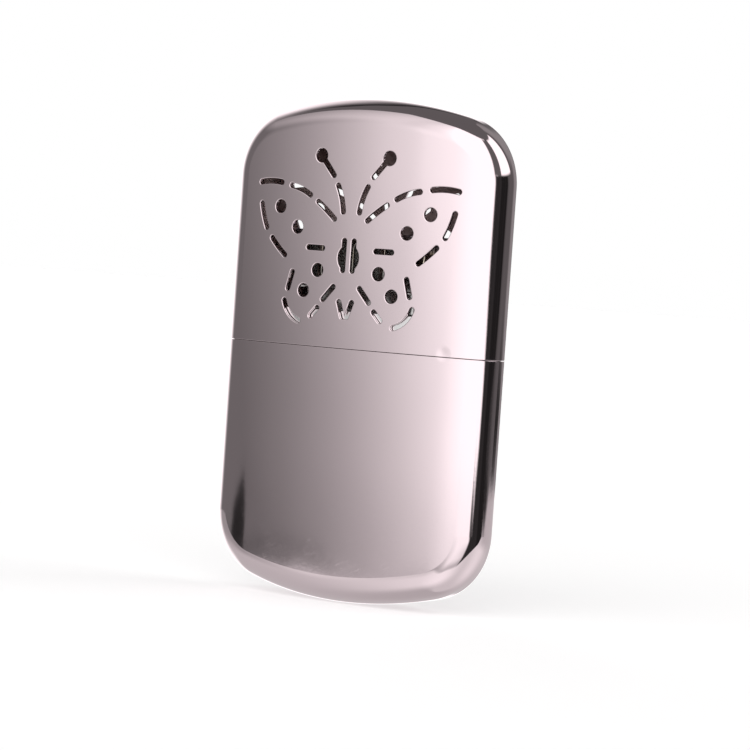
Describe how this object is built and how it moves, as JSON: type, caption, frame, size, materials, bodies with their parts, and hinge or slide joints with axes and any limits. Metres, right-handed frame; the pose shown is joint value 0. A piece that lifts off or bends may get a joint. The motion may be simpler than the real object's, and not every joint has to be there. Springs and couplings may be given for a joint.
{
  "type": "catalytic hand warmer",
  "caption": "Flat metal pocket hand warmer: fuel tank with a pull-off cap, butterfly-shaped vents, and a push-on catalytic burner on an oblong filler neck.",
  "frame": {"origin": "under the middle of the standing warmer, at the lowest point of the tank", "axes": "+Z from the tank's bottom to the cap's top, +X across the width, -Y out of the front face"},
  "size_m": [0.063, 0.0164, 0.1],
  "materials": {
    "case_metal": "satin-polished plated sheet",
    "bright_metal": "bright plated sheet",
    "burner_metal": "stamped nickel-plated steel",
    "rivet_metal": "bright",
    "gauze_wire": "woven wire, heat-darkened",
    "catalyst": "glass-fibre mat",
    "felt": "pressed felt",
    "cotton": "cotton wadding"
  },
  "bodies": {
    "tank": {"tank_shell": "case_metal", "collar_sleeve": "bright_metal", "deck_plate": "bright_metal", "filler_neck": "bright_metal", "wick_felt": "felt", "wadding_upper": "cotton", "wadding_middle": "cotton", "wadding_lower": "cotton"},
    "cap": {"cap_shell": "case_metal"},
    "burner": {"burner_skirt": "burner_metal", "vapour_plate": "burner_metal", "end_channel_left": "burner_metal", "end_channel_right": "burner_metal", "cage_front": "burner_metal", "cage_back": "burner_metal", "gauze_front": "gauze_wire", "gauze_back": "gauze_wire", "catalyst_mat": "catalyst", "top_strap": "burner_metal", "cage_rivets": "rivet_metal"}
  },
  "joints": [
    {"name": "cap_pull", "type": "slide", "parent": "tank", "child": "cap", "axis": [0, 0, 1], "range_m": [0, 0.05]},
    {"name": "burner_pull", "type": "slide", "parent": "tank", "child": "burner", "axis": [0, 0, 1], "range_m": [0, 0.015]}
  ]
}
